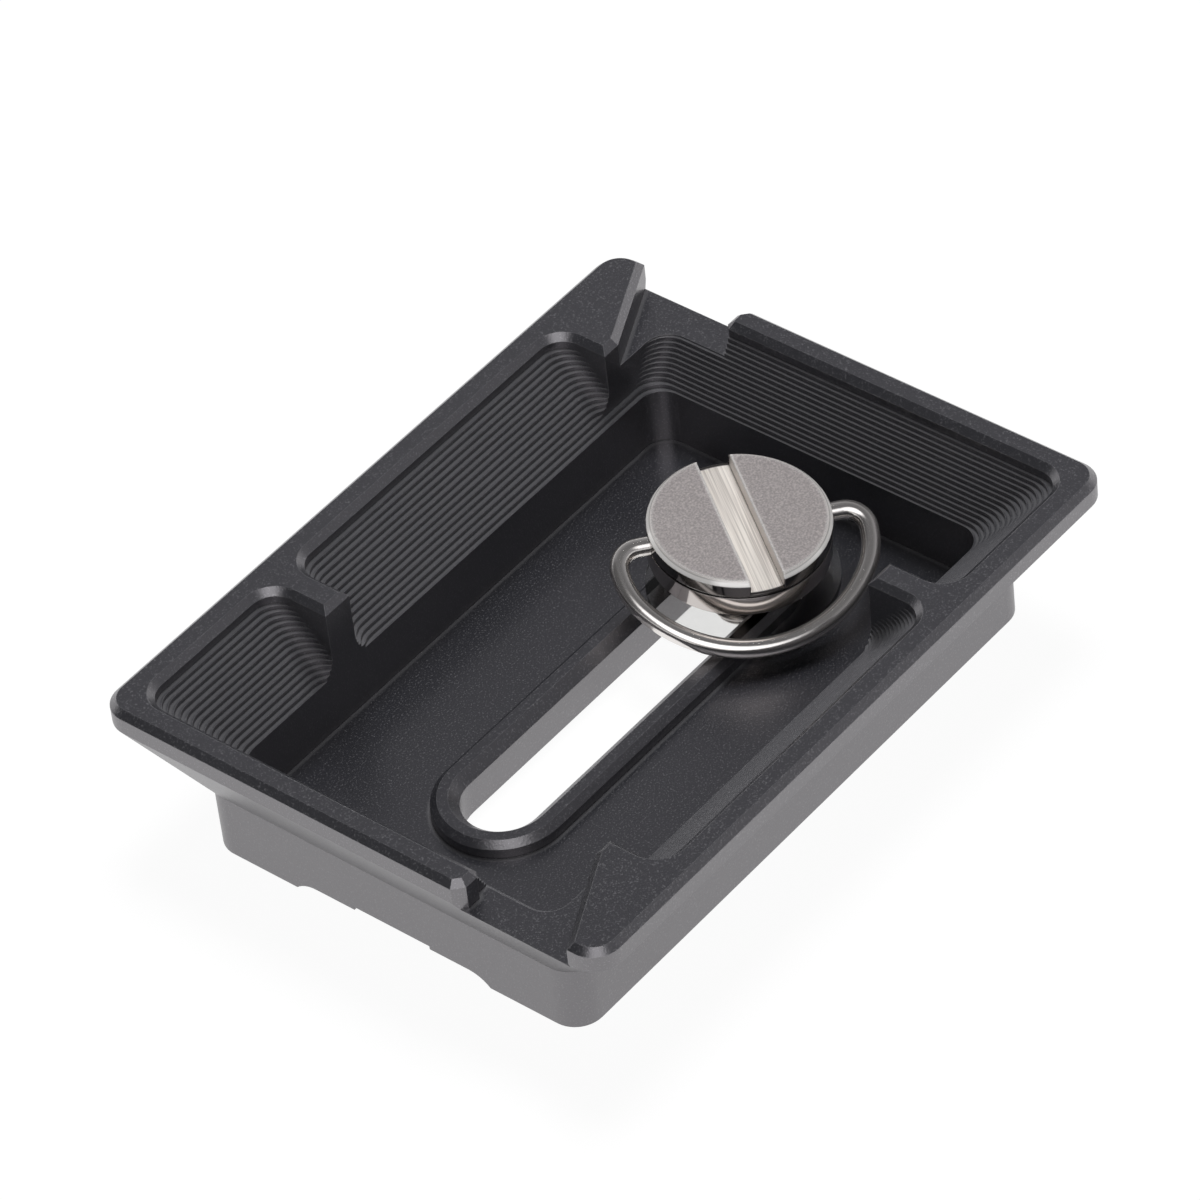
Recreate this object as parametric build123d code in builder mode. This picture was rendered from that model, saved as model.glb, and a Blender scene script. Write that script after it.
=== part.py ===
from math import atan2, cos, degrees, radians, sin, sqrt, tan
import os

from build123d import *

# Tripod quick release plate: a milled aluminium tray with a dovetail flange, lying camera face down,
# and a loose camera screw with a folding D-ring and a washer in its slot.
# Origin: centre of the camera face. +X along the plate, +Z out of the open tray. Millimetres.

# Outline of the plate
flange_length = 90.0
flange_width = 69.8
plate_height = 21.0
flange_edge = 2.1
edge_chamfer = 0.8
flange_corner = 3.4
end_overhang = 5.05
side_overhang = 8.65
base_height = 8.7
base_corner = 3.4
base_edge_chamfer = 0.25

# Tray
floor_thickness = 3.9
base_wall = 3.0
cavity_corner = 3.0
rim_land = 2.0
rim_drop = 1.9
terrace_count = 15
terrace_rise = 0.55
pocket_corner = 3.0
cavity_overlap = 8.0

# Webs and corner posts between the pockets, set back from the ends of the cavity
web_setback = 20.65
web_thickness = 4.0
post_setback = 6.95
post_tip_width = 2.4
post_ledges = 2

# Locating notches at two opposite corners
notch_depth = 3.9
notch_lip_end = 16.0
lip_outer_chamfer = 1.2
lip_inner_chamfer = 0.6
notch_angle = 26.0
notch_overrun = 2.0

# Screw slot and the raised rim round it
slot_width = 9.4
slot_end_setback = 16.45
slot_rim_height = 2.1
slot_rim_land = 1.25
slot_inner_chamfer = 1.2
slot_outer_chamfer = 0.8

# Camera face
face_groove_width = 10.6
face_groove_depth = 0.45
end_recess_width = 21.4
end_recess_depth = 1.45
end_recess_length = 8.0
end_recess_radius = 4.2

# Camera screw, 1/4 inch thread, leaning loosely to one side of the slot
thread_diameter = 6.35
thread_length = 5.4
thread_tip_chamfer = 0.8
neck_diameter = 6.0
screw_length = 15.2
screw_lean = 5.0
screw_end_gap = 0.8
head_diameter = 20.8
head_height = 5.2
head_top_chamfer = 0.55
head_foot_chamfer = 0.3
head_groove_lip = 0.25
head_groove_width = 0.3
head_groove_depth = 0.25
coin_slot_width = 3.9
coin_slot_depth = 1.8
coin_slot_angle = 55.5

# Washer on the slot rim
washer_diameter = 22.0
washer_thickness = 0.8
washer_bore = 8.4
washer_slip_x = -0.4
washer_slip_y = -0.8

# D-ring
wire_diameter = 2.2
ring_width = 28.5
ring_reach = 14.3
ring_bend = 2.5
ring_shoulder_radius = 9.0
ring_droop = 22.5
ring_pin_in_head = 2.0
ring_hole_clearance = 0.06
ring_pivot_drop = 1.9
pivot_angle = -38.0

# Heights and half sizes that follow
flange_underside = plate_height - edge_chamfer - flange_edge
base_length = flange_length - 2 * end_overhang
base_width = flange_width - 2 * side_overhang
cavity_x = base_length / 2 - base_wall
cavity_y = base_width / 2 - base_wall
pocket_x = flange_length / 2 - 2 * edge_chamfer - rim_land
pocket_y = flange_width / 2 - 2 * edge_chamfer - rim_land
terrace_step_x = (pocket_x - cavity_x) / terrace_count
terrace_step_y = (pocket_y - cavity_y) / terrace_count
terrace_top = plate_height - rim_drop
slot_rim_top = floor_thickness + slot_rim_height
slot_rim_width = slot_width + 2 * (slot_inner_chamfer + slot_rim_land + slot_outer_chamfer)
shelf_height = plate_height - notch_depth
slot_travel = 2 * (cavity_x - slot_end_setback)
screw_x = slot_travel / 2 + (slot_width - thread_diameter) / 2 - screw_end_gap
tip_height = (thread_diameter / 2 - thread_tip_chamfer) * sin(radians(screw_lean))
head_bottom = screw_length - head_height
pivot_height = screw_length - ring_pivot_drop

web_near = cavity_x - web_setback
short_pocket_start = web_near + web_thickness
post_start = cavity_x - post_setback
post_tip_x = post_start + post_tip_width
post_tip_y = cavity_y + post_ledges * terrace_step_y
end_pocket_start = post_start - 2 * pocket_corner


def rounded_between(x_low, x_high, y_low, y_high, radius):
    """A rounded rectangle between two corners, and its half-turn copy."""
    centre = ((x_low + x_high) / 2, (y_low + y_high) / 2)
    fitting_radius = min(radius, 0.45 * (x_high - x_low))
    with Locations(centre, (-centre[0], -centre[1])):
        RectangleRounded(x_high - x_low, y_high - y_low, fitting_radius)


def pocket_outline(reach_x, reach_y):
    """The wall pockets at one level, out to the given half length and half width."""
    inner_y = cavity_y - cavity_overlap
    rounded_between(-web_near, post_start, inner_y, reach_y, pocket_corner)
    rounded_between(-reach_x, -short_pocket_start, inner_y, reach_y, pocket_corner)
    rounded_between(-reach_x, -end_pocket_start, -min(post_tip_y, reach_y), reach_y, pocket_corner)


# Plate body
with BuildPart() as plate_body:
    with BuildSketch():
        RectangleRounded(base_length, base_width, base_corner)
    extrude(amount=base_height)
    chamfer(plate_body.faces().sort_by(Axis.Z)[0].edges(), base_edge_chamfer)

    # Dovetail slopes from the base out to the flange
    with BuildSketch(Plane.XY.offset(base_height)):
        RectangleRounded(base_length, base_width, base_corner)
    with BuildSketch(Plane.XY.offset(flange_underside)):
        RectangleRounded(flange_length, flange_width, flange_corner)
    loft(ruled=True)
    with BuildSketch(Plane.XY.offset(flange_underside)):
        RectangleRounded(flange_length, flange_width, flange_corner)
    extrude(amount=plate_height - flange_underside)

    # Main cavity, then the terraced pockets that follow the slopes
    with BuildSketch(Plane.XY.offset(floor_thickness)):
        RectangleRounded(2 * cavity_x, 2 * cavity_y, cavity_corner)
    extrude(amount=plate_height - floor_thickness, mode=Mode.SUBTRACT)
    with BuildSketch(Plane.XY.offset(terrace_top)):
        pocket_outline(pocket_x, pocket_y)
    extrude(amount=rim_drop, mode=Mode.SUBTRACT)
    for level in range(1, terrace_count):
        with BuildSketch(Plane.XY.offset(terrace_top - level * terrace_rise)):
            pocket_outline(pocket_x - level * terrace_step_x, pocket_y - level * terrace_step_y)
        extrude(amount=terrace_rise, mode=Mode.SUBTRACT)

    # Locating notches, each between a slanted corner post and the end of a lip
    notch_outer = flange_length / 2 + notch_overrun
    post_line_end = post_tip_y + (notch_outer - post_tip_x) * tan(radians(notch_angle))
    lip_outer_start = flange_length / 2 - lip_outer_chamfer
    lip_inner_start = pocket_x + lip_inner_chamfer
    with BuildSketch(Plane.XY.offset(shelf_height)):
        for turn in (0, 180):
            with Locations(Location((0, 0, 0), (0, 0, turn))):
                Polygon(
                    (post_tip_x, notch_lip_end - lip_inner_chamfer),
                    (pocket_x, notch_lip_end - lip_inner_chamfer),
                    (lip_inner_start, notch_lip_end),
                    (lip_outer_start, notch_lip_end),
                    (notch_outer, notch_lip_end - lip_outer_chamfer - notch_overrun),
                    (notch_outer, post_line_end),
                    (post_tip_x, post_tip_y),
                    align=None,
                )
    extrude(amount=notch_depth, mode=Mode.SUBTRACT)

    # Broken edges round the top faces
    top_faces = plate_body.faces().filter_by(Axis.Z).group_by(Axis.Z)[-1]
    chamfer(top_faces.edges(), edge_chamfer)

    # Raised rim round the screw slot, broken on both its edges
    with BuildSketch(Plane.XY.offset(floor_thickness)):
        SlotCenterToCenter(slot_travel, slot_rim_width)
    extrude(amount=slot_rim_height - slot_outer_chamfer)
    with BuildSketch(Plane.XY.offset(slot_rim_top - slot_outer_chamfer)):
        SlotCenterToCenter(slot_travel, slot_rim_width)
    extrude(amount=slot_outer_chamfer, taper=45)
    with BuildSketch():
        SlotCenterToCenter(slot_travel, slot_width)
    extrude(amount=slot_rim_top, mode=Mode.SUBTRACT)
    with BuildSketch(Plane.XY.offset(slot_rim_top - slot_inner_chamfer)):
        SlotCenterToCenter(slot_travel, slot_width)
    extrude(amount=slot_inner_chamfer, taper=-45, mode=Mode.SUBTRACT)

    # Camera face: a groove along the slot, and a relieved recess at each short end
    with BuildSketch():
        Rectangle(flange_length, face_groove_width)
    extrude(amount=face_groove_depth, mode=Mode.SUBTRACT)
    recess_drop = end_recess_radius - end_recess_depth
    recess_spread = sqrt(end_recess_radius**2 - recess_drop**2)
    recess_half = end_recess_width / 2
    for side in (-1, 1):
        with BuildSketch(Plane.YZ.offset(side * (base_length / 2 - end_recess_length))):
            with BuildLine():
                Polyline(
                    (-recess_half - recess_spread, 0),
                    (recess_half + recess_spread, 0),
                )
                RadiusArc(
                    (recess_half + recess_spread, 0),
                    (recess_half, end_recess_depth),
                    -end_recess_radius,
                )
                Polyline(
                    (recess_half, end_recess_depth),
                    (face_groove_width / 2, end_recess_depth),
                    (face_groove_width / 2, end_recess_depth + face_groove_depth),
                    (-face_groove_width / 2, end_recess_depth + face_groove_depth),
                    (-face_groove_width / 2, end_recess_depth),
                    (-recess_half, end_recess_depth),
                )
                RadiusArc(
                    (-recess_half, end_recess_depth),
                    (-recess_half - recess_spread, 0),
                    -end_recess_radius,
                )
            make_face()
        extrude(amount=side * (end_recess_length + notch_overrun), mode=Mode.SUBTRACT)
plate_body.part.label = "plate_body"

# Camera screw, on a plane square to its leaning axis
screw_plane = Plane(
    origin=(screw_x, 0, tip_height),
    x_dir=(1, 0, 0),
    z_dir=(0, -sin(radians(screw_lean)), cos(radians(screw_lean))),
)
profile_plane = Plane(origin=screw_plane.origin, x_dir=screw_plane.x_dir, z_dir=-screw_plane.y_dir)
pivot_along = screw_plane.x_dir * cos(radians(pivot_angle)) + screw_plane.y_dir * sin(radians(pivot_angle))
pivot_across = screw_plane.y_dir * cos(radians(pivot_angle)) - screw_plane.x_dir * sin(radians(pivot_angle))
pivot_centre = screw_plane.origin + screw_plane.z_dir * pivot_height
head_radius = head_diameter / 2
with BuildPart() as camera_screw:
    with BuildSketch(profile_plane):
        with BuildLine():
            groove_high = screw_length - coin_slot_depth - head_groove_lip
            groove_low = groove_high - head_groove_width
            Polyline(
                (0, 0),
                (thread_diameter / 2 - thread_tip_chamfer, 0),
                (thread_diameter / 2, thread_tip_chamfer),
                (thread_diameter / 2, thread_length),
                (neck_diameter / 2, thread_length),
                (neck_diameter / 2, head_bottom),
                (head_radius - head_foot_chamfer, head_bottom),
                (head_radius, head_bottom + head_foot_chamfer),
                (head_radius, groove_low),
                (head_radius - head_groove_depth, groove_low),
                (head_radius - head_groove_depth, groove_high),
                (head_radius, groove_high),
                (head_radius, screw_length - head_top_chamfer),
                (head_radius - head_top_chamfer, screw_length),
                (0, screw_length),
                close=True,
            )
        make_face()
    revolve(axis=Axis(screw_plane.origin, screw_plane.z_dir))
    with BuildSketch(screw_plane.offset(screw_length - coin_slot_depth)):
        Rectangle(2 * head_diameter, coin_slot_width, rotation=coin_slot_angle)
    extrude(amount=coin_slot_depth, mode=Mode.SUBTRACT)
    for side in (1, -1):
        hole_plane = Plane(origin=pivot_centre, x_dir=screw_plane.z_dir, z_dir=pivot_along * side)
        with BuildSketch(hole_plane.offset(head_radius - ring_pin_in_head - 2 * ring_hole_clearance)):
            Circle(wire_diameter / 2 + ring_hole_clearance)
        extrude(amount=head_diameter, mode=Mode.SUBTRACT)
camera_screw.part.label = "camera_screw"

# Washer, slipped to one side of the screw
washer_x = screw_x + washer_slip_x
washer_y = washer_slip_y - (slot_rim_top + washer_thickness / 2) * tan(radians(screw_lean))
with BuildPart() as washer:
    with BuildSketch(Plane.XY.offset(slot_rim_top)):
        with Locations((washer_x, washer_y)):
            Circle(washer_diameter / 2)
            Circle(washer_bore / 2, mode=Mode.SUBTRACT)
    extrude(amount=washer_thickness)
washer.part.label = "washer"

# D-ring, lying in a plane that droops from the pivot
ring_plane = Plane(
    origin=pivot_centre,
    x_dir=pivot_along,
    z_dir=screw_plane.z_dir * cos(radians(ring_droop)) - pivot_across * sin(radians(ring_droop)),
)
half_width = ring_width / 2
shoulder_offset = half_width - ring_shoulder_radius
crown_offset = ring_reach - ring_bend - ring_shoulder_radius
shoulder_turn = 90 - 2 * degrees(atan2(crown_offset, shoulder_offset))
crown_radius = ring_shoulder_radius + shoulder_offset / cos(radians(shoulder_turn))
with BuildPart() as d_ring:
    pin_end = head_radius - ring_pin_in_head
    with BuildLine(ring_plane) as ring_path:
        pin = Line((-pin_end, 0), (-half_width + ring_bend, 0))
        bend = JernArc(pin @ 1, pin % 1, ring_bend, 90)
        shoulder = JernArc(bend @ 1, bend % 1, ring_shoulder_radius, shoulder_turn)
        crown = JernArc(shoulder @ 1, shoulder % 1, crown_radius, 2 * (90 - shoulder_turn))
        far_shoulder = JernArc(crown @ 1, crown % 1, ring_shoulder_radius, shoulder_turn)
        far_bend = JernArc(far_shoulder @ 1, far_shoulder % 1, ring_bend, 90)
        Line(far_bend @ 1, (pin_end, 0))
    with BuildSketch(Plane(origin=pin @ 0, z_dir=pin % 0)):
        Circle(wire_diameter / 2)
    sweep()
d_ring.part.label = "d_ring"

os.makedirs("parts", exist_ok=True)
export_step(plate_body.part, "parts/plate_body.step")
export_step(camera_screw.part, "parts/camera_screw.step")
export_step(washer.part, "parts/washer.step")
export_step(d_ring.part, "parts/d_ring.step")
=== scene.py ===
import math

import bmesh
import bpy
from mathutils import Matrix, Vector


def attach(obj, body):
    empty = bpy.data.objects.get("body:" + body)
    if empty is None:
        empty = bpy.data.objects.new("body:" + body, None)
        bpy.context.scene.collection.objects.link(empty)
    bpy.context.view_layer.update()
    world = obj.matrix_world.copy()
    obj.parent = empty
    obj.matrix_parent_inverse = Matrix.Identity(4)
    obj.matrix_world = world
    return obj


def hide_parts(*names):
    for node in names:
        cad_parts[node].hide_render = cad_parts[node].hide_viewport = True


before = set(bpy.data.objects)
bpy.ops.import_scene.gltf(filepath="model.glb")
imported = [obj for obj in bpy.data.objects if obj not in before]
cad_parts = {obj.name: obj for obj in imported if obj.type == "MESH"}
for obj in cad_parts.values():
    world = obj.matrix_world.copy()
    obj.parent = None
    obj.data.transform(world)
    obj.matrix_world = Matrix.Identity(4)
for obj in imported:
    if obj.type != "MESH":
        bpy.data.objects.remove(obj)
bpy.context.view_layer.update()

MM = 0.001

# Camera fitted to the photograph: angles in degrees, lengths in millimetres, clipping in metres
CAMERA_AZIMUTH = -46.68
CAMERA_ELEVATION = 42.85
CAMERA_ROLL = -6.88
CAMERA_DISTANCE = 801.71
CAMERA_TARGET = (14.17, 14.63, 0.0)
CAMERA_FOCAL_PX = 7099.36
CAMERA_NEAR = 0.01
CAMERA_FAR = 50
FRAME_PX = 1200
SENSOR_MM = 36.0

# Camera screw: its foot and leaning axes in metres, its head, coin slot and thread in millimetres
SCREW_LEAN = math.radians(5.0)
SCREW_FOOT = Vector((21.225, 0.0, 0.207)) * MM
SCREW_SIDE = Vector((1, 0, 0))
SCREW_ACROSS = Vector((0, math.cos(SCREW_LEAN), math.sin(SCREW_LEAN)))
SCREW_UP = Vector((0, -math.sin(SCREW_LEAN), math.cos(SCREW_LEAN)))
HEAD_TOP = 15.2
HEAD_RADIUS = 10.4
HEAD_CHAMFER = 0.55
COIN_SLOT_FLOOR = 13.4
COIN_SLOT_ANGLE = math.radians(55.5)
THREAD_RADIUS = 3.175
THREAD_ROOT = 2.55
THREAD_PITCH = 1.27
THREAD_TOP = 5.4
THREAD_TIP = 0.8
THREAD_CREST = 0.18
THREAD_FLANK = 0.62
THREAD_RUNOUT = 1.2
THREAD_SIDES = 64
THREAD_ROWS_PER_PITCH = 14
SHANK_MARGIN = 0.01

# Where one finish or painted light of the screw gives way to the next: heights above its foot, and a
# distance from its axis
SATIN_HEIGHT = (HEAD_TOP - 0.5, HEAD_TOP - 0.2)
CHAMFER_HEIGHT = (HEAD_TOP - HEAD_CHAMFER - 0.1, HEAD_TOP - HEAD_CHAMFER)
LIP_HEIGHT = (COIN_SLOT_FLOOR - 0.4, COIN_SLOT_FLOOR - 0.3)
SLOT_HEIGHT = (COIN_SLOT_FLOOR - 0.2, COIN_SLOT_FLOOR - 0.1)
RIM_REACH = (HEAD_RADIUS - 0.3, HEAD_RADIUS - 0.5)

# In all finishes colours are linear, noise scales are per metre and lengths are in millimetres.
# A pair of numbers is a range: of a noise or a mask that is cut out, or of the value that it drives.
EDGE_LEAN = (1.0, 0.86)

# Black anodising
ANODISED_TONES = ((0.0185, 0.0195, 0.0235), (0.0255, 0.0265, 0.0315))
ANODISED_CLOUD = 60
ANODISED_ROUGHNESS = (0.27, 0.34)
ANODISED_TINT = (1.0, 0.965, 1.0, 1)
ANODISED_IOR = 1.9
BLAST_SCALE = 4600
BLAST_STRENGTH = 0.55
BLAST_DEPTH = 0.04
SPECK_TONE = (0.17, 0.17, 0.18)
SPECK_NOISE = (0.57, 0.70)
SPECK_SHARE = 0.7
WORN_TONE = (0.36, 0.36, 0.375)
WORN_RADIUS = 0.14
WORN_SCALE = 420
WORN_SHARE = (0.05, 0.7)
SOFTENED_RADIUS = 0.12
# Painted shade in inner corners: a near-black tone and a lower specular level where the piece itself
# shelters a point
CORNER_PAINTED_SHADE = (0.006, 0.006, 0.007)
CORNER_REACH = 0.6
CORNER_OPENNESS = (0.35, 0.70)
CORNER_SHEEN = (0.1, 1.0)
# Painted light on level ledges that have a riser beside them: a paler tone
LEDGE_PAINTED_LIGHT = (0.125, 0.125, 0.132)
LEDGE_OPENNESS = (0.97, 0.78)
LEDGE_LEVEL = (0.8, 0.95)

# Nickel plate of the screw
SATIN_TONES = ((0.56, 0.51, 0.505), (0.88, 0.815, 0.80))
SATIN_SCALE = 4200
SATIN_NOISE = (0.38, 0.75)
SATIN_METALLIC = 0.55
SATIN_STRENGTH = 0.35
SATIN_DEPTH = 0.03
FLAT_LEAN = (0.8, 0.92)
POLISHED_TONES = ((0.62, 0.578, 0.553), (0.55, 0.513, 0.492))
POLISHED_CLOUD = 160
POLISHED_ROUGHNESS = (0.06, 0.12)
# Painted dark reflection on the head's side above the groove: a dark tone
LIP_PAINTED_DARK_REFLECTION = (0.20, 0.187, 0.18)
# Painted shade in the groove under the head and other sheltered parts of the screw: a dark tone
GROOVE_PAINTED_SHADE = (0.06, 0.055, 0.053)
GROOVE_REACH = 3.0
GROOVE_OPENNESS = (0.35, 0.85)
SLOT_FLOOR_TONES = ((0.60, 0.555, 0.52), (1.0, 0.95, 0.89))
# Painted highlight on the coin slot's walls: a paler tone than the brushed nickel has
SLOT_WALL_PAINTED_HIGHLIGHT = (0.85, 0.80, 0.765)
SLOT_METALLIC = 0.1
SLOT_ROUGHNESS = 0.40
STREAK_SCALE = (70, 4800, 70)
STREAK_NOISE = (0.36, 0.62)
STREAK_STRENGTH = 0.25
STREAK_DEPTH = 0.04
RUBBED_RADIUS = 0.25
# Painted highlight on the head's chamfer and sharp top edges: a pale tone with low metallic
PAINTED_GLINT_TONE = (1.0, 0.975, 0.95)
GLINT_RADIUS = 0.7
GLINT_METALLIC = 0.2
ROUNDED_RADIUS = 0.22

# Nickel plate of the wire
WIRE_TONES = ((0.90, 0.865, 0.835), (0.82, 0.785, 0.76))
WIRE_CLOUD = 160
WIRE_ROUGHNESS = (0.11, 0.19)
WIRE_METALLIC = 0.9
WIRE_SCALE = 2600
WIRE_STRENGTH = 0.10
WIRE_DEPTH = 0.02

# Clear plastic
PLASTIC_TONES = ((0.80, 0.80, 0.79), (0.90, 0.90, 0.89))
PLASTIC_ROUGHNESS = (0.02, 0.10)
PLASTIC_IOR = 1.49
PLASTIC_SCALE = 900
PLASTIC_STRENGTH = 0.05
PLASTIC_DEPTH = 0.03

# Studio floor in metres: half its width, how far it lies below the plate, and its own glow
FLOOR_HALF = 3.0
FLOOR_DROP = 0.05 * MM
FLOOR_COLOUR = (0.9, 0.9, 0.9, 1)
FLOOR_GLOW = 1.05
FLOOR_GLOW_SHARE = 0.9

# Studio surroundings: greys by the height of the direction, a soft box above the camera and a dark
# screen at the back left. They light the scene at a lower strength than they are seen and mirrored at.
SKY_LIGHT = 0.35
SKY_WHITE_HEIGHT = 0.18
SKY_GREYS = ((0.40, 0.25), (0.62, 0.22))
SKY_BLUE = 1.04
SKY_TOP_HEIGHT = 0.95
SKY_TOP_COLOUR = (0.09, 0.09, 0.094, 1)
SOFT_BOX = Vector((-0.5, -0.47, 0.75)).normalized()
SOFT_BOX_COLOUR = (1.6, 1.6, 1.62)
SOFT_BOX_EDGE = (0.88, 0.95)
DARK_SCREEN = Vector((-0.68, 0.50, 0.53)).normalized()
DARK_SCREEN_COLOUR = (0.05, 0.05, 0.052)
DARK_SCREEN_EDGE = (0.78, 0.93)

# Lamps: places and sizes in metres, power in watts
KEY_PLACE = (0.27, 0.12, 0.96)
KEY_TARGET = (0, 0, 0)
KEY_SIZE = 0.4
KEY_WATTS = 7.3
FILL_PLACE = (-0.7, -0.6, 0.35)
FILL_TARGET = (0, 0, 0.01)
FILL_SIZE = 0.5
FILL_WATTS = 0.4


def node(tree, kind, **values):
    """Adds a shader node and sets its inputs or its properties."""
    made = tree.nodes.new(kind)
    for key, value in values.items():
        if key in made.inputs:
            made.inputs[key].default_value = value
        else:
            setattr(made, key, value)
    return made


def feed(tree, value, socket):
    """Links another node's output to an input, or sets the input to a plain value."""
    if isinstance(value, bpy.types.NodeSocket):
        tree.links.new(value, socket)
    else:
        socket.default_value = value


def new_material(name):
    """A node material with a Principled shader, and its tree, shader and object coordinates."""
    material = bpy.data.materials.new(name)
    material.use_nodes = True
    tree = material.node_tree
    shader = tree.nodes["Principled BSDF"]
    coords = node(tree, "ShaderNodeTexCoord")
    return material, tree, shader, coords.outputs["Object"]


def noise(tree, coords, scale, detail):
    made = node(tree, "ShaderNodeTexNoise", Scale=scale, Detail=detail)
    tree.links.new(coords, made.inputs["Vector"])
    return made.outputs["Fac"]


def ramp(tree, value, span):
    """Maps a 0 to 1 value on to the range between two numbers."""
    made = node(tree, "ShaderNodeMapRange")
    made.inputs["To Min"].default_value = span[0]
    made.inputs["To Max"].default_value = span[1]
    tree.links.new(value, made.inputs["Value"])
    return made.outputs["Result"]


def window(tree, value, span, top=1.0):
    """0 at the first number of a range and beyond, rising to the top at the second."""
    made = node(tree, "ShaderNodeMapRange")
    made.inputs["From Min"].default_value = span[0]
    made.inputs["From Max"].default_value = span[1]
    made.inputs["To Max"].default_value = top
    tree.links.new(value, made.inputs["Value"])
    return made.outputs["Result"]


def length_window(tree, value, span):
    """A window on a length, with its range in millimetres."""
    return window(tree, value, (span[0] * MM, span[1] * MM))


def two_colours(tree, value, first, second):
    """Blends two colours, each a plain colour or another node's output."""
    made = node(tree, "ShaderNodeMix", data_type="RGBA")
    tree.links.new(value, made.inputs[0])
    sockets = [s for s in made.inputs if s.type == "RGBA"]
    for socket, colour in zip(sockets, (first, second)):
        feed(tree, (*colour, 1) if isinstance(colour, tuple) else colour, socket)
    return [s for s in made.outputs if s.type == "RGBA"][0]


def two_numbers(tree, value, first, second):
    """Blends two numbers, each a plain number or another node's output."""
    made = node(tree, "ShaderNodeMix", data_type="FLOAT")
    tree.links.new(value, made.inputs[0])
    feed(tree, first, made.inputs[2])
    feed(tree, second, made.inputs[3])
    return made.outputs[0]


def two_shaders(tree, value, first, second):
    """Blends two shaders by a plain number or another node's output."""
    made = node(tree, "ShaderNodeMixShader")
    feed(tree, value, made.inputs[0])
    tree.links.new(first, made.inputs[1])
    tree.links.new(second, made.inputs[2])
    return made.outputs[0]


def combined(tree, operation, first, second):
    """Combines two numbers, such as masks, by a Math operation."""
    made = node(tree, "ShaderNodeMath", operation=operation)
    tree.links.new(first, made.inputs[0])
    tree.links.new(second, made.inputs[1])
    return made.outputs[0]


def product(tree, first, second):
    return combined(tree, "MULTIPLY", first, second)


def larger(tree, first, second):
    return combined(tree, "MAXIMUM", first, second)


def inverse(tree, mask):
    return ramp(tree, mask, (1.0, 0.0))


def vector_step(tree, operation, first, second):
    """A Vector Math node that gives a vector; the second vector may be plain."""
    made = node(tree, "ShaderNodeVectorMath", operation=operation)
    tree.links.new(first, made.inputs[0])
    feed(tree, second, made.inputs[1])
    return made.outputs["Vector"]


def dot(tree, first, second):
    """Dot product of two vectors; the second may be plain."""
    made = node(tree, "ShaderNodeVectorMath", operation="DOT_PRODUCT")
    tree.links.new(first, made.inputs[0])
    feed(tree, second, made.inputs[1])
    return made.outputs["Value"]


def bump(tree, height, strength, depth, normal=None):
    made = node(tree, "ShaderNodeBump", Strength=strength, Distance=depth * MM)
    tree.links.new(height, made.inputs["Height"])
    if normal is not None:
        tree.links.new(normal, made.inputs["Normal"])
    return made.outputs["Normal"]


def rounded_normal(tree, radius, samples):
    """The surface normal, with edges rounded to a radius."""
    return node(tree, "ShaderNodeBevel", samples=samples, Radius=radius * MM).outputs["Normal"]


def true_normal(tree):
    return node(tree, "ShaderNodeNewGeometry").outputs["Normal"]


def edge_mask(tree, radius):
    """Near 1 along sharp edges, 0 on flats: how far a rounded normal leans from the true one."""
    agreement = dot(tree, rounded_normal(tree, radius, samples=4), true_normal(tree))
    return window(tree, agreement, EDGE_LEAN)


def openness(tree, reach):
    """1 on open faces, lower the more of the piece itself stands round a point within reach."""
    shelter = node(tree, "ShaderNodeAmbientOcclusion", samples=4, only_local=True, Distance=reach * MM)
    return shelter.outputs["AO"]


def anodised():
    """Bead-blasted black anodising: paler on worn edges, painted light on level ledges, painted shade in
    inner corners.
    """
    material, tree, shader, coords = new_material("anodised_black")
    grain = noise(tree, coords, BLAST_SCALE, detail=2)
    cloud = noise(tree, coords, ANODISED_CLOUD, detail=4)
    scuff = noise(tree, coords, WORN_SCALE, detail=5)

    # Specks of the blasting, then wear on the edges
    base = two_colours(tree, cloud, *ANODISED_TONES)
    speck = window(tree, grain, SPECK_NOISE, top=SPECK_SHARE)
    speckled = two_colours(tree, speck, base, SPECK_TONE)
    wear = product(tree, edge_mask(tree, WORN_RADIUS), ramp(tree, scuff, WORN_SHARE))
    edged = two_colours(tree, wear, speckled, WORN_TONE)

    # Painted shade in inner corners, with a lower specular level there, then painted light on level ledges
    # that have a riser beside them
    open_share = openness(tree, CORNER_REACH)
    open_to_light = window(tree, open_share, CORNER_OPENNESS)
    shaded = two_colours(tree, open_to_light, CORNER_PAINTED_SHADE, edged)
    parts = node(tree, "ShaderNodeSeparateXYZ")
    tree.links.new(true_normal(tree), parts.inputs[0])
    level = window(tree, parts.outputs["Z"], LEDGE_LEVEL)
    ledges = product(tree, level, window(tree, open_share, LEDGE_OPENNESS))
    cut_with_painted_light = two_colours(tree, ledges, shaded, LEDGE_PAINTED_LIGHT)

    tree.links.new(cut_with_painted_light, shader.inputs["Base Color"])
    tree.links.new(ramp(tree, open_to_light, CORNER_SHEEN), shader.inputs["Specular IOR Level"])
    tree.links.new(ramp(tree, cloud, ANODISED_ROUGHNESS), shader.inputs["Roughness"])
    softened = rounded_normal(tree, SOFTENED_RADIUS, samples=4)
    blasted = bump(tree, grain, BLAST_STRENGTH, BLAST_DEPTH, softened)
    tree.links.new(blasted, shader.inputs["Normal"])
    shader.inputs["Specular Tint"].default_value = ANODISED_TINT
    shader.inputs["IOR"].default_value = ANODISED_IOR
    return material


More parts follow.
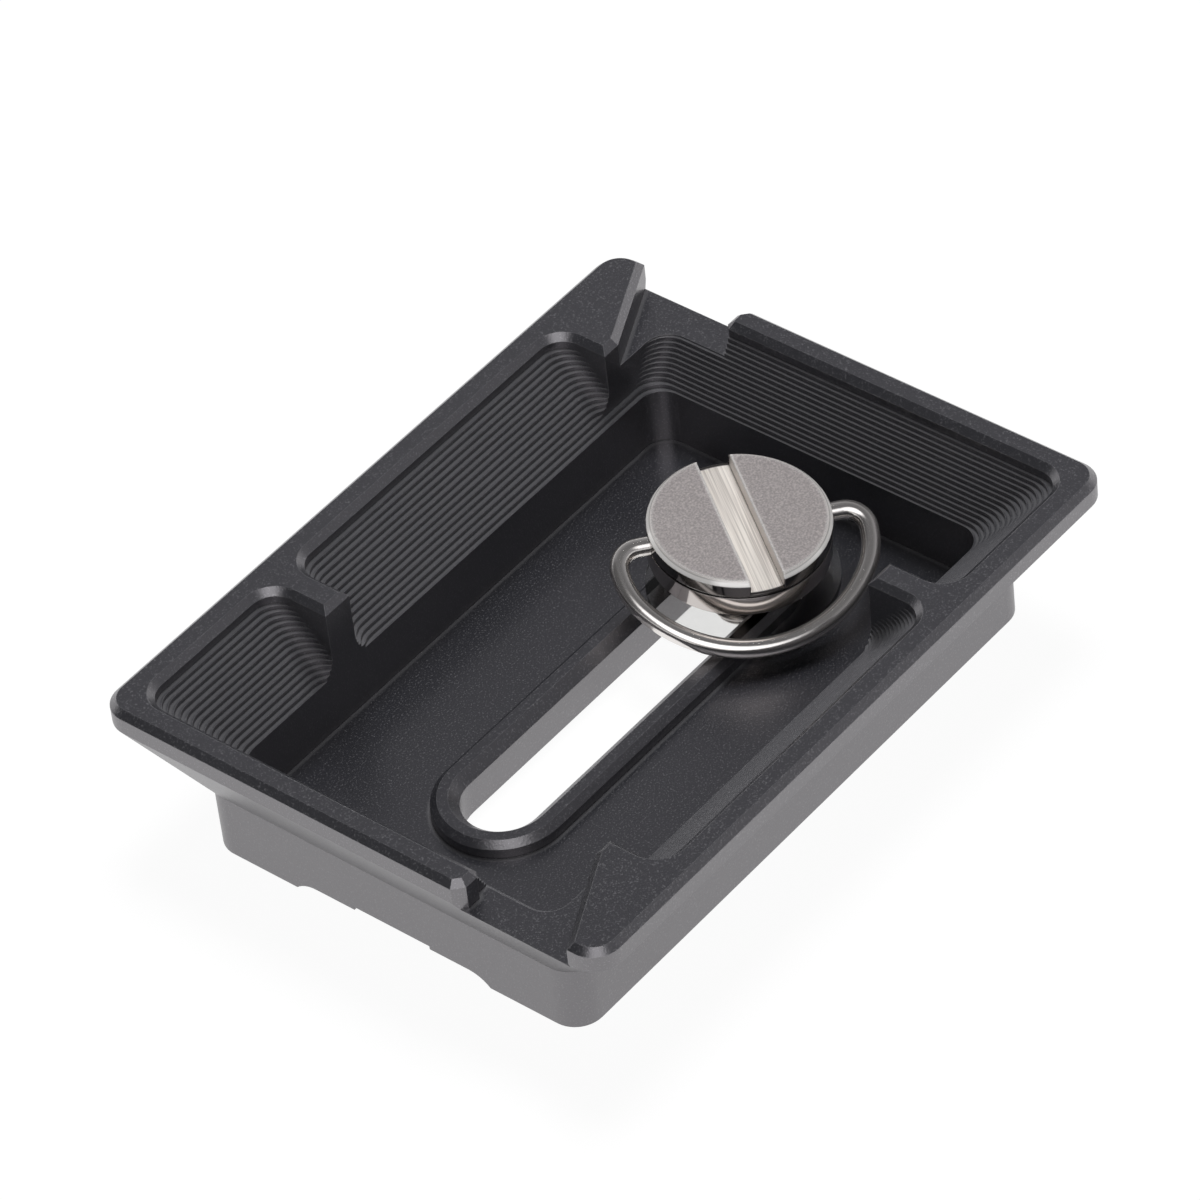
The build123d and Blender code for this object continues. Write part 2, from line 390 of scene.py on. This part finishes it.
def screw_nickel():
    """Nickel plate: satin on the head's top, brushed in the coin slot with its walls painted paler as a
    highlight, painted highlight on the chamfer and edges, polished below with a painted dark reflection
    above the groove and painted shade in sheltered parts.
    """
    material, tree, shader, coords = new_material("nickel_screw")

    # Heights and distances on the screw's axis, and faces that look along it
    flat = window(tree, dot(tree, true_normal(tree), SCREW_UP), FLAT_LEAN)
    from_foot = vector_step(tree, "SUBTRACT", coords, SCREW_FOOT)
    along = dot(tree, from_foot, SCREW_UP)
    aside = vector_step(tree, "CROSS_PRODUCT", from_foot, SCREW_UP)
    reach = node(tree, "ShaderNodeVectorMath", operation="LENGTH")
    tree.links.new(aside, reach.inputs[0])

    # Masks: the head's satin top, its coin slot, its chamfer and sharp edges for a painted highlight, its
    # side above the groove for a painted dark reflection, and sheltered parts for painted shade
    satin = product(tree, flat, length_window(tree, along, SATIN_HEIGHT))
    inside = length_window(tree, reach.outputs["Value"], RIM_REACH)
    outside = inverse(tree, inside)
    unrubbed = inverse(tree, edge_mask(tree, RUBBED_RADIUS))
    matt = product(tree, product(tree, inside, length_window(tree, along, SLOT_HEIGHT)), unrubbed)
    edges = larger(tree, edge_mask(tree, GLINT_RADIUS), outside)
    painted_glint = product(tree, edges, length_window(tree, along, CHAMFER_HEIGHT))
    lip_reflection_mask = product(tree, length_window(tree, along, LIP_HEIGHT), outside)
    open_to_light = window(tree, openness(tree, GROOVE_REACH), GROOVE_OPENNESS)

    # Streaks along the coin slot
    turned = node(tree, "ShaderNodeVectorRotate", rotation_type="Z_AXIS", Angle=-COIN_SLOT_ANGLE)
    tree.links.new(coords, turned.inputs["Vector"])
    drawn_out = vector_step(tree, "MULTIPLY", turned.outputs["Vector"], STREAK_SCALE)
    streaks = noise(tree, drawn_out, 1, detail=3)

    # Tones
    cloud = noise(tree, coords, POLISHED_CLOUD, detail=5)
    grain = noise(tree, coords, SATIN_SCALE, detail=2)
    brushed = two_colours(tree, window(tree, streaks, STREAK_NOISE), *SLOT_FLOOR_TONES)
    # Slot walls painted paler than the nickel, as a highlight, beside the brushed floor
    cut_with_painted_light = two_colours(tree, flat, SLOT_WALL_PAINTED_HIGHLIGHT, brushed)
    top = two_colours(tree, window(tree, grain, SATIN_NOISE), *SATIN_TONES)
    polished = two_colours(tree, cloud, *POLISHED_TONES)
    # Painted dark reflection on the head's side above the groove
    with_lip_reflection = two_colours(tree, lip_reflection_mask, polished, LIP_PAINTED_DARK_REFLECTION)
    # Painted shade where the screw shelters itself, as in the groove under the head
    sides = two_colours(tree, open_to_light, GROOVE_PAINTED_SHADE, with_lip_reflection)
    lower = two_colours(tree, matt, sides, cut_with_painted_light)
    faces = two_colours(tree, satin, lower, top)
    # Painted highlight on the chamfer and sharp top edges, over the other tones
    tree.links.new(two_colours(tree, painted_glint, faces, PAINTED_GLINT_TONE), shader.inputs["Base Color"])

    # Shine
    gloss = ramp(tree, cloud, POLISHED_ROUGHNESS)
    tree.links.new(two_numbers(tree, matt, gloss, SLOT_ROUGHNESS), shader.inputs["Roughness"])
    dull = two_numbers(tree, satin, SLOT_METALLIC, SATIN_METALLIC)
    metallic = two_numbers(tree, matt, 1.0, dull)
    tree.links.new(two_numbers(tree, painted_glint, metallic, GLINT_METALLIC), shader.inputs["Metallic"])

    # Softened edges, blasted top, scored slot
    rounded = rounded_normal(tree, ROUNDED_RADIUS, samples=6)
    blasted = bump(tree, product(tree, grain, satin), SATIN_STRENGTH, SATIN_DEPTH, rounded)
    scored = bump(tree, product(tree, streaks, matt), STREAK_STRENGTH, STREAK_DEPTH, blasted)
    tree.links.new(scored, shader.inputs["Normal"])
    return material


def wire_nickel():
    """Bright drawn wire, nickel plated, with faint scuffs."""
    material, tree, shader, coords = new_material("nickel_wire")
    cloud = noise(tree, coords, WIRE_CLOUD, detail=5)
    fine = noise(tree, coords, WIRE_SCALE, detail=3)
    tree.links.new(two_colours(tree, cloud, *WIRE_TONES), shader.inputs["Base Color"])
    tree.links.new(ramp(tree, cloud, WIRE_ROUGHNESS), shader.inputs["Roughness"])
    tree.links.new(bump(tree, fine, WIRE_STRENGTH, WIRE_DEPTH), shader.inputs["Normal"])
    shader.inputs["Metallic"].default_value = WIRE_METALLIC
    return material


def clear_plastic():
    """Clear gloss plastic with faint scuffs."""
    material, tree, shader, coords = new_material("clear_washer")
    scuff = noise(tree, coords, PLASTIC_SCALE, detail=6)
    tree.links.new(two_colours(tree, scuff, *PLASTIC_TONES), shader.inputs["Base Color"])
    tree.links.new(ramp(tree, scuff, PLASTIC_ROUGHNESS), shader.inputs["Roughness"])
    tree.links.new(bump(tree, scuff, PLASTIC_STRENGTH, PLASTIC_DEPTH), shader.inputs["Normal"])
    shader.inputs["Transmission Weight"].default_value = 1.0
    shader.inputs["IOR"].default_value = PLASTIC_IOR
    return material


def seen_directly(tree):
    """1 for rays from the camera, from a glossy surface or through a clear one, 0 for others."""
    path = node(tree, "ShaderNodeLightPath")
    mirrored = larger(tree, path.outputs["Is Camera Ray"], path.outputs["Is Glossy Ray"])
    return larger(tree, mirrored, path.outputs["Is Transmission Ray"])


def floor_material():
    """White studio floor: lifted where it is seen or mirrored, and it keeps the shadow."""
    material = bpy.data.materials.new("studio_floor")
    material.use_nodes = True
    tree = material.node_tree
    tree.nodes.clear()
    diffuse = node(tree, "ShaderNodeBsdfDiffuse", Color=FLOOR_COLOUR).outputs[0]
    glow = node(tree, "ShaderNodeEmission", Strength=FLOOR_GLOW).outputs[0]
    lifted = two_shaders(tree, FLOOR_GLOW_SHARE, diffuse, glow)
    chosen = two_shaders(tree, seen_directly(tree), diffuse, lifted)
    output = node(tree, "ShaderNodeOutputMaterial")
    tree.links.new(chosen, output.inputs["Surface"])
    return material


def studio_world():
    """White low down, grey overhead, with a soft box and a dark screen; dimmer as light than as seen."""
    world = bpy.data.worlds.new("studio")
    bpy.context.scene.world = world
    world.use_nodes = True
    tree = world.node_tree
    tree.nodes.clear()
    direction = node(tree, "ShaderNodeTexCoord").outputs["Generated"]
    parts = node(tree, "ShaderNodeSeparateXYZ")
    tree.links.new(direction, parts.inputs[0])
    shade = node(tree, "ShaderNodeValToRGB")
    stops = shade.color_ramp.elements
    stops[0].position = SKY_WHITE_HEIGHT
    stops[0].color = (1, 1, 1, 1)
    stops[1].position = SKY_TOP_HEIGHT
    stops[1].color = SKY_TOP_COLOUR
    for height, grey in SKY_GREYS:
        stops.new(height).color = (grey, grey, grey * SKY_BLUE, 1)
    tree.links.new(parts.outputs["Z"], shade.inputs[0])
    in_box = window(tree, dot(tree, direction, SOFT_BOX), SOFT_BOX_EDGE)
    lit = two_colours(tree, in_box, shade.outputs["Color"], SOFT_BOX_COLOUR)
    in_screen = window(tree, dot(tree, direction, DARK_SCREEN), DARK_SCREEN_EDGE)
    sky = two_colours(tree, in_screen, lit, DARK_SCREEN_COLOUR)
    as_light = node(tree, "ShaderNodeBackground", Strength=SKY_LIGHT)
    as_seen = node(tree, "ShaderNodeBackground", Strength=1.0)
    for background in (as_light, as_seen):
        tree.links.new(sky, background.inputs["Color"])
    chosen = two_shaders(tree, seen_directly(tree), as_light.outputs[0], as_seen.outputs[0])
    output = node(tree, "ShaderNodeOutputWorld")
    tree.links.new(chosen, output.inputs["Surface"])


def wear_material(obj, material):
    """Gives an object its one material."""
    obj.data.materials.clear()
    obj.data.materials.append(material)
    for polygon in obj.data.polygons:
        polygon.material_index = 0


def thread_radius(angle, height):
    """Radius of the thread at a point: flat crests and roots, a pointed start and a run-out at the top."""
    phase = (height / THREAD_PITCH - angle / (2 * math.pi)) % 1.0
    from_crest = abs(phase - 0.5) * 2
    form = min(1.0, max(0.0, (from_crest - THREAD_CREST) / THREAD_FLANK))
    radius = THREAD_RADIUS - (THREAD_RADIUS - THREAD_ROOT) * form
    tip_limit = THREAD_RADIUS - max(0.0, THREAD_TIP - height)
    top_limit = THREAD_ROOT + max(0.0, THREAD_TOP - height) * THREAD_RUNOUT
    return min(radius, tip_limit, top_limit)


def threaded_screw():
    """The screw as shown: the machined part's own head and neck, with its plain shank cut into a thread."""
    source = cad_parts["camera_screw"]
    made = bmesh.new()
    made.from_mesh(source.data)
    shank_top = (THREAD_TOP + SHANK_MARGIN) * MM
    shank = [f for f in made.faces if (f.calc_center_median() - SCREW_FOOT).dot(SCREW_UP) < shank_top]
    bmesh.ops.delete(made, geom=shank, context="FACES")
    rows = int(round(THREAD_TOP / THREAD_PITCH * THREAD_ROWS_PER_PITCH))
    rings = []
    for row in range(rows + 1):
        height = THREAD_TOP * row / rows
        ring = []
        for side in range(THREAD_SIDES):
            angle = 2 * math.pi * side / THREAD_SIDES
            radius = thread_radius(angle, height) * MM
            around = SCREW_SIDE * math.cos(angle) + SCREW_ACROSS * math.sin(angle)
            ring.append(made.verts.new(SCREW_FOOT + around * radius + SCREW_UP * height * MM))
        rings.append(ring)
    for low, high in zip(rings, rings[1:]):
        for side in range(THREAD_SIDES):
            after = (side + 1) % THREAD_SIDES
            made.faces.new((low[side], low[after], high[after], high[side])).smooth = True
    made.faces.new(list(reversed(rings[0])))
    made.faces.new(rings[-1])
    mesh = bpy.data.meshes.new("screw_with_thread")
    made.to_mesh(mesh)
    made.free()
    shown = bpy.data.objects.new("screw_with_thread", mesh)
    bpy.context.scene.collection.objects.link(shown)
    return shown


def studio_floor():
    """A square floor just below the plate."""
    corners = [(-1, -1), (1, -1), (1, 1), (-1, 1)]
    mesh = bpy.data.meshes.new("floor")
    mesh.from_pydata([(x * FLOOR_HALF, y * FLOOR_HALF, 0) for x, y in corners], [], [(0, 1, 2, 3)])
    floor = bpy.data.objects.new("floor", mesh)
    floor.location.z = -FLOOR_DROP
    bpy.context.scene.collection.objects.link(floor)
    floor.data.materials.append(floor_material())
    return floor


def soft_lamp(name, place, target, size, watts):
    """A square lamp that lights the scene but is not mirrored in it."""
    data = bpy.data.lights.new(name, "AREA")
    data.shape = "SQUARE"
    data.size = size
    data.energy = watts
    lamp = bpy.data.objects.new(name, data)
    lamp.location = place
    lamp.visible_glossy = False
    lamp.rotation_euler = (Vector(target) - Vector(place)).to_track_quat("-Z", "Y").to_euler()
    bpy.context.scene.collection.objects.link(lamp)


def photo_camera():
    """The camera of the photograph: it looks at its target from a distance, rolled about its view."""
    azimuth = math.radians(CAMERA_AZIMUTH)
    elevation = math.radians(CAMERA_ELEVATION)
    roll = math.radians(CAMERA_ROLL)
    back = Vector((
        math.sin(azimuth) * math.cos(elevation),
        -math.cos(azimuth) * math.cos(elevation),
        math.sin(elevation),
    ))
    right = Vector((math.cos(azimuth), math.sin(azimuth), 0))
    up = back.cross(right)
    rolled_right = math.cos(roll) * right + math.sin(roll) * up
    rolled_up = -math.sin(roll) * right + math.cos(roll) * up
    turn = Matrix((rolled_right, rolled_up, back)).transposed()
    data = bpy.data.cameras.new("photo_camera")
    data.sensor_width = SENSOR_MM
    data.lens = CAMERA_FOCAL_PX / FRAME_PX * SENSOR_MM
    data.clip_start = CAMERA_NEAR
    data.clip_end = CAMERA_FAR
    camera = bpy.data.objects.new("photo_camera", data)
    place = (Vector(CAMERA_TARGET) + back * CAMERA_DISTANCE) * MM
    camera.matrix_world = Matrix.Translation(place) @ turn.to_4x4()
    bpy.context.scene.collection.objects.link(camera)
    bpy.context.scene.camera = camera


# Finishes on the machined parts
plate_finish = anodised()
screw_finish = screw_nickel()
wire_finish = wire_nickel()
washer_finish = clear_plastic()
wear_material(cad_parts["plate_body"], plate_finish)
wear_material(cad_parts["camera_screw"], screw_finish)
wear_material(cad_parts["d_ring"], wire_finish)
wear_material(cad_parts["washer"], washer_finish)

# The screw with its thread
screw = threaded_screw()
wear_material(screw, screw_finish)
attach(screw, "screw")
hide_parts("camera_screw")

# Studio
floor = studio_floor()
studio_world()
soft_lamp("key", KEY_PLACE, KEY_TARGET, KEY_SIZE, KEY_WATTS)
soft_lamp("fill", FILL_PLACE, FILL_TARGET, FILL_SIZE, FILL_WATTS)
photo_camera()
bpy.context.scene.view_settings.view_transform = "Standard"
